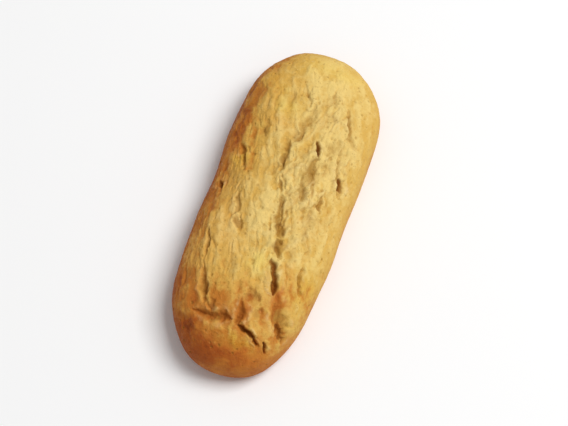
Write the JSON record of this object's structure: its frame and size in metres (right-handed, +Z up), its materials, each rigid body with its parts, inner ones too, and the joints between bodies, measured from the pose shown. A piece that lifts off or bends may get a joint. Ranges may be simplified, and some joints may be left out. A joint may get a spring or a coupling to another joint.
{
  "type": "cookie",
  "caption": "Oblong baked cookie with a domed, cracked golden crust, rounded ends and a flat base.",
  "frame": {"origin": "middle of the flat base", "axes": "+Y along the cookie, towards its slightly wider, paler end; +Z up through the cracked crown"},
  "size_m": [0.0416, 0.1002, 0.0214],
  "materials": {
    "crust": "dry matt baked crust, golden on the crown and browned on the flanks and the near end"
  },
  "bodies": {
    "root": {"cookie": "crust"}
  },
  "joints": []
}
